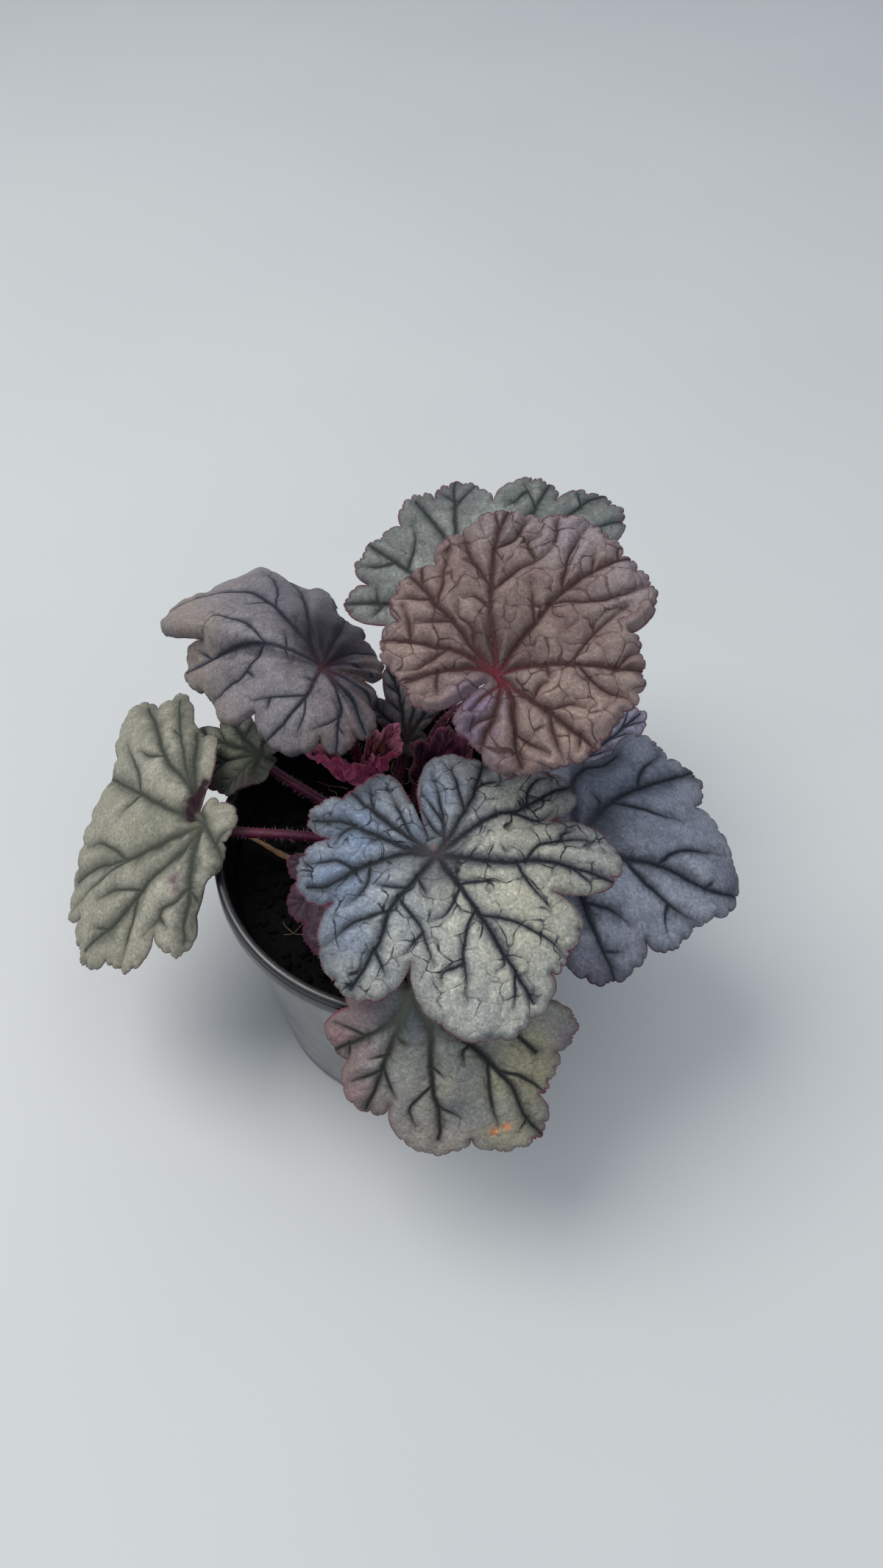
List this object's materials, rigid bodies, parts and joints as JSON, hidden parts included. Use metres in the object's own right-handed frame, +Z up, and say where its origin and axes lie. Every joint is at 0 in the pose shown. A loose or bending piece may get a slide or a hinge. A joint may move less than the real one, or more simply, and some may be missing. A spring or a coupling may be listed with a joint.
{
  "type": "heuchera plant",
  "caption": "Heuchera in a round nursery pot: silver, bronze and plum lobed leaves with dark veins, on slender crimson stalks over dark compost.",
  "frame": {"origin": "centre of the pot's underside, on the surface it stands on", "axes": "+Z up along the pot's axis, -Y to the front, where the low front leaf hangs over the rim, +X to the right"},
  "size_m": [0.186, 0.1864, 0.1665],
  "materials": {
    "pot": "thin blow-moulded plastic, satin gloss",
    "soil": "moist peat compost, matte",
    "crown": "woody rootstock with scaly leaf bases, matte",
    "stalk": "fleshy, finely hairy, satin",
    "spent_stalk": "withered, matte",
    "leaf_front": "silver grey-green, satin",
    "leaf_top": "bronze grey, satin",
    "leaf_upper_left": "mauve grey silver, satin",
    "leaf_far_left": "pale silver green, satin",
    "leaf_right": "slate blue-grey, satin",
    "leaf_back": "sage silver green, satin",
    "leaf_low_front": "olive grey, satin",
    "leaf_back_left": "dull green, satin",
    "leaf_back_right": "slate blue-grey, satin",
    "leaf_back_centre": "dark slate green, satin",
    "leaf_low_left": "plum, satin",
    "young_leaf_crimson": "crimson, satin",
    "young_leaf_dark": "dark burgundy, satin"
  },
  "bodies": {
    "root": {"pot": "pot", "soil": "soil", "crown": "crown", "spent_stalk": "spent_stalk", "leaf_front_blade": "leaf_front", "leaf_front_stalk": "stalk", "leaf_top_blade": "leaf_top", "leaf_top_stalk": "stalk", "leaf_upper_left_blade": "leaf_upper_left", "leaf_upper_left_stalk": "stalk", "leaf_far_left_blade": "leaf_far_left", "leaf_far_left_stalk": "stalk", "leaf_right_blade": "leaf_right", "leaf_right_stalk": "stalk", "leaf_back_blade": "leaf_back", "leaf_back_stalk": "stalk", "leaf_low_front_blade": "leaf_low_front", "leaf_low_front_stalk": "stalk", "leaf_back_left_blade": "leaf_back_left", "leaf_back_left_stalk": "stalk", "leaf_back_right_blade": "leaf_back_right", "leaf_back_right_stalk": "stalk", "leaf_back_centre_blade": "leaf_back_centre", "leaf_back_centre_stalk": "stalk", "leaf_low_left_blade": "leaf_low_left", "leaf_low_left_stalk": "stalk", "young_leaf_crimson_blade": "young_leaf_crimson", "young_leaf_crimson_stalk": "stalk", "young_leaf_dark_blade": "young_leaf_dark", "young_leaf_dark_stalk": "stalk"}
  },
  "joints": []
}
